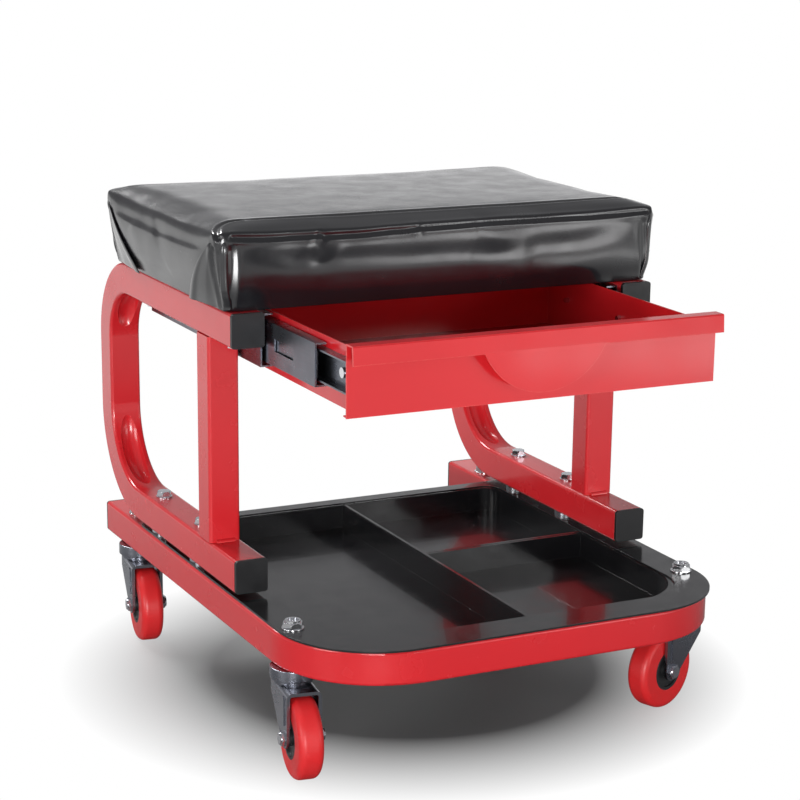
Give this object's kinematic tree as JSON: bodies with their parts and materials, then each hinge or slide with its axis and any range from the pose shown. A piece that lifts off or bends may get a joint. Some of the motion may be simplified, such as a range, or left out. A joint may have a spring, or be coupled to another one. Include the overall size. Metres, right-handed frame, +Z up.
{
  "type": "creeper seat",
  "caption": "Low rolling work seat with a padded vinyl top, a shallow drawer on ball slides, a divided tool tray and swivel casters on a bent-tube frame.",
  "frame": {"origin": "on the floor, in the middle of the box around the whole seat with its drawer part open", "axes": "+Z up; the drawer opens towards -Y; +X to the right of someone who faces +Y, the front right caster's side"},
  "size_m": [0.3596, 0.439, 0.37],
  "materials": {
    "red_powder_coat": "gloss powder coat over steel tube",
    "red_sheet": "gloss powder coat over sheet steel",
    "black_plastic": "moulded, satin",
    "tray_plastic": "vacuum-formed, glossy",
    "zinc_steel": "bright zinc plate on pressed steel",
    "zinc_fasteners": "bright zinc plate",
    "chromed_nuts": "bright nickel and chrome plate",
    "ball_steel": "polished bearing steel",
    "black_vinyl": "smooth vinyl with a light grain",
    "foam": "open-cell foam",
    "plywood": "bare plywood",
    "tyre_urethane": "smooth urethane tread",
    "core_plastic": "moulded, satin"
  },
  "bodies": {
    "frame": {"base_frame": "red_powder_coat", "rail_end_caps": "black_plastic", "tool_tray": "tray_plastic", "side_frame_left": "red_powder_coat", "side_frame_right": "red_powder_coat", "post_left": "red_powder_coat", "post_right": "red_powder_coat", "seat_rail_caps": "black_plastic", "foot_caps": "black_plastic", "foot_bolts": "zinc_fasteners", "foot_nuts": "zinc_fasteners", "foot_spacers": "zinc_fasteners", "post_welds": "red_powder_coat", "seat_board": "plywood", "seat_foam": "foam", "seat_cover": "black_vinyl", "cover_staples": "zinc_fasteners", "board_screws": "zinc_fasteners", "board_tee_nuts": "zinc_fasteners", "caster_stems": "zinc_fasteners", "stem_nuts": "chromed_nuts", "stem_washers": "chromed_nuts", "swivel_cups": "zinc_steel", "swivel_balls": "ball_steel", "slide_outer_left": "zinc_steel", "slide_outer_right": "zinc_steel", "slide_outer_screws": "zinc_fasteners"},
    "slide_middle_left": {"slide_middle_left": "zinc_steel", "slide_bumper_left": "black_plastic"},
    "ball_cage_outer_left": {"ball_cage_outer_left": "ball_steel"},
    "ball_cage_inner_left": {"ball_cage_inner_left": "ball_steel"},
    "slide_middle_right": {"slide_middle_right": "zinc_steel", "slide_bumper_right": "black_plastic"},
    "ball_cage_outer_right": {"ball_cage_outer_right": "ball_steel"},
    "ball_cage_inner_right": {"ball_cage_inner_right": "ball_steel"},
    "drawer": {"drawer_box": "red_sheet", "drawer_front": "red_sheet", "drawer_rivets": "zinc_fasteners", "slide_inner_left": "zinc_steel", "slide_inner_right": "zinc_steel", "slide_inner_screws": "zinc_fasteners"},
    "caster_front_left": {"fork_front_left": "zinc_steel", "axle_front_left": "zinc_fasteners"},
    "wheel_front_left": {"wheel_core_front_left": "core_plastic", "tyre_front_left": "tyre_urethane"},
    "caster_front_right": {"fork_front_right": "zinc_steel", "axle_front_right": "zinc_fasteners"},
    "wheel_front_right": {"wheel_core_front_right": "core_plastic", "tyre_front_right": "tyre_urethane"},
    "caster_rear_left": {"fork_rear_left": "zinc_steel", "axle_rear_left": "zinc_fasteners"},
    "wheel_rear_left": {"wheel_core_rear_left": "core_plastic", "tyre_rear_left": "tyre_urethane"},
    "caster_rear_right": {"fork_rear_right": "zinc_steel", "axle_rear_right": "zinc_fasteners"},
    "wheel_rear_right": {"wheel_core_rear_right": "core_plastic", "tyre_rear_right": "tyre_urethane"}
  },
  "joints": [
    {"name": "drawer_slide", "type": "slide", "parent": "frame", "child": "drawer", "axis": [0, -1, 0], "range_m": [-0.128, 0.09]},
    {"name": "slide_middle_left_slide", "type": "slide", "parent": "frame", "child": "slide_middle_left", "axis": [0, -1, 0], "range_m": [-0.0885, 0.0625]},
    {"name": "ball_cage_outer_left_slide", "type": "slide", "parent": "frame", "child": "ball_cage_outer_left", "axis": [0, -1, 0], "range_m": [-0.0445, 0.0315]},
    {"name": "ball_cage_inner_left_slide", "type": "slide", "parent": "frame", "child": "ball_cage_inner_left", "axis": [0, -1, 0], "range_m": [-0.1085, 0.0765]},
    {"name": "slide_middle_right_slide", "type": "slide", "parent": "frame", "child": "slide_middle_right", "axis": [0, -1, 0], "range_m": [-0.0885, 0.0625]},
    {"name": "ball_cage_outer_right_slide", "type": "slide", "parent": "frame", "child": "ball_cage_outer_right", "axis": [0, -1, 0], "range_m": [-0.0445, 0.0315]},
    {"name": "ball_cage_inner_right_slide", "type": "slide", "parent": "frame", "child": "ball_cage_inner_right", "axis": [0, -1, 0], "range_m": [-0.1085, 0.0765]},
    {"name": "caster_front_left_swivel", "type": "hinge", "parent": "frame", "child": "caster_front_left", "pos_m": [-0.1595, -0.1465, 0.07], "axis": [0, 0, 1], "continuous": true},
    {"name": "wheel_front_left_spin", "type": "hinge", "parent": "caster_front_left", "child": "wheel_front_left", "pos_m": [-0.16262, -0.16868, 0.03], "axis": [0.9903, -0.1392, 0], "continuous": true},
    {"name": "caster_front_right_swivel", "type": "hinge", "parent": "frame", "child": "caster_front_right", "pos_m": [0.1595, -0.1465, 0.07], "axis": [0, 0, 1], "continuous": true},
    {"name": "wheel_front_right_spin", "type": "hinge", "parent": "caster_front_right", "child": "wheel_front_right", "pos_m": [0.13859, -0.15453, 0.03], "axis": [0.3584, -0.9336, 0], "continuous": true},
    {"name": "caster_rear_left_swivel", "type": "hinge", "parent": "frame", "child": "caster_rear_left", "pos_m": [-0.1595, 0.1695, 0.07], "axis": [0, 0, 1], "continuous": true},
    {"name": "wheel_rear_left_spin", "type": "hinge", "parent": "caster_rear_left", "child": "wheel_rear_left", "pos_m": [-0.16262, 0.14732, 0.03], "axis": [0.9903, -0.1392, 0], "continuous": true},
    {"name": "caster_rear_right_swivel", "type": "hinge", "parent": "frame", "child": "caster_rear_right", "pos_m": [0.1595, 0.1695, 0.07], "axis": [0, 0, 1], "continuous": true},
    {"name": "wheel_rear_right_spin", "type": "hinge", "parent": "caster_rear_right", "child": "wheel_rear_right", "pos_m": [0.16262, 0.14732, 0.03], "axis": [0.9903, 0.1392, 0], "continuous": true}
  ],
  "couplings": [
    {"joint": "slide_middle_left_slide", "follows": "drawer_slide", "ratio": 0.6875},
    {"joint": "ball_cage_outer_left_slide", "follows": "drawer_slide", "ratio": 0.34375},
    {"joint": "ball_cage_inner_left_slide", "follows": "drawer_slide", "ratio": 0.84375},
    {"joint": "slide_middle_right_slide", "follows": "drawer_slide", "ratio": 0.6875},
    {"joint": "ball_cage_outer_right_slide", "follows": "drawer_slide", "ratio": 0.34375},
    {"joint": "ball_cage_inner_right_slide", "follows": "drawer_slide", "ratio": 0.84375}
  ]
}
